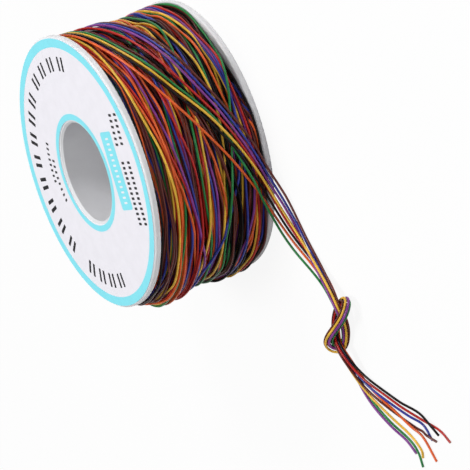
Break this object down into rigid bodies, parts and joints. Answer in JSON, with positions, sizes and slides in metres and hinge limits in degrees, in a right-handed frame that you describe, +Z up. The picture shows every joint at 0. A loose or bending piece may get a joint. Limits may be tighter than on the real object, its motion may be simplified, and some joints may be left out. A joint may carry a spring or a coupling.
{
  "type": "spool of hookup wire",
  "caption": "Flanged plastic spool wound with thin coloured hookup wire, with loose wire ends tied in an overhand knot and a round label on the top flange.",
  "frame": {"origin": "centre of the plain flange's outer face, on the bore's axis, where the spool stands", "axes": "+Z up along the bore's axis, towards the label; the loose wire ends run out along +X"},
  "size_m": [0.1499, 0.0715, 0.0337],
  "materials": {
    "spool_plastic": "satin moulded",
    "label_paper": "printed paper",
    "wire_mixed": "glossy insulation",
    "wire_black": "glossy insulation",
    "wire_brown": "glossy insulation",
    "wire_red": "glossy insulation",
    "wire_orange": "glossy insulation",
    "wire_yellow": "glossy insulation",
    "wire_green": "glossy insulation",
    "wire_blue": "glossy insulation",
    "wire_violet": "glossy insulation"
  },
  "bodies": {
    "root": {"spool": "spool_plastic", "label": "label_paper", "winding": "wire_mixed", "tail_black": "wire_black", "tail_brown": "wire_brown", "tail_red": "wire_red", "tail_orange": "wire_orange", "tail_yellow": "wire_yellow", "tail_green": "wire_green", "tail_blue": "wire_blue", "tail_violet": "wire_violet"}
  },
  "joints": []
}
